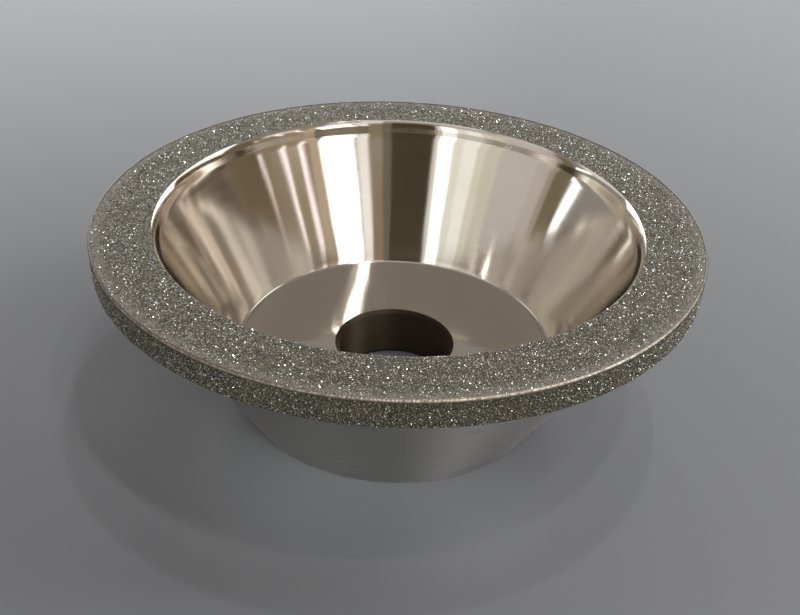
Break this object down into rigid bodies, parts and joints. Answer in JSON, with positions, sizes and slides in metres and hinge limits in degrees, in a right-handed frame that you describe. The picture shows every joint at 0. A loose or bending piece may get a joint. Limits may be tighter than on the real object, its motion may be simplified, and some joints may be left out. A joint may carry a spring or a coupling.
{
  "type": "diamond grinding wheel",
  "caption": "Bowl-shaped electroplated diamond cup wheel: grit on a flat rim face and its side band, a bright nickel-lined cup, a steel body and a plain bore.",
  "frame": {"origin": "centre of the base face that the wheel stands on, on the bore's axis", "axes": "+Z along the bore from the base towards the grit face; the wheel is round, so X and Y are free"},
  "size_m": [0.1, 0.1, 0.035],
  "materials": {
    "steel": "satin",
    "bright_nickel": "polished",
    "nickel_bond": "matte",
    "bead_nickel": "satin",
    "diamond": "gloss"
  },
  "bodies": {
    "root": {"steel_body": "steel", "nickel_lining": "bright_nickel", "face_bond": "nickel_bond", "edge_bead": "bead_nickel", "rim_bond": "nickel_bond", "face_diamonds": "diamond", "rim_diamonds": "diamond"}
  },
  "joints": []
}
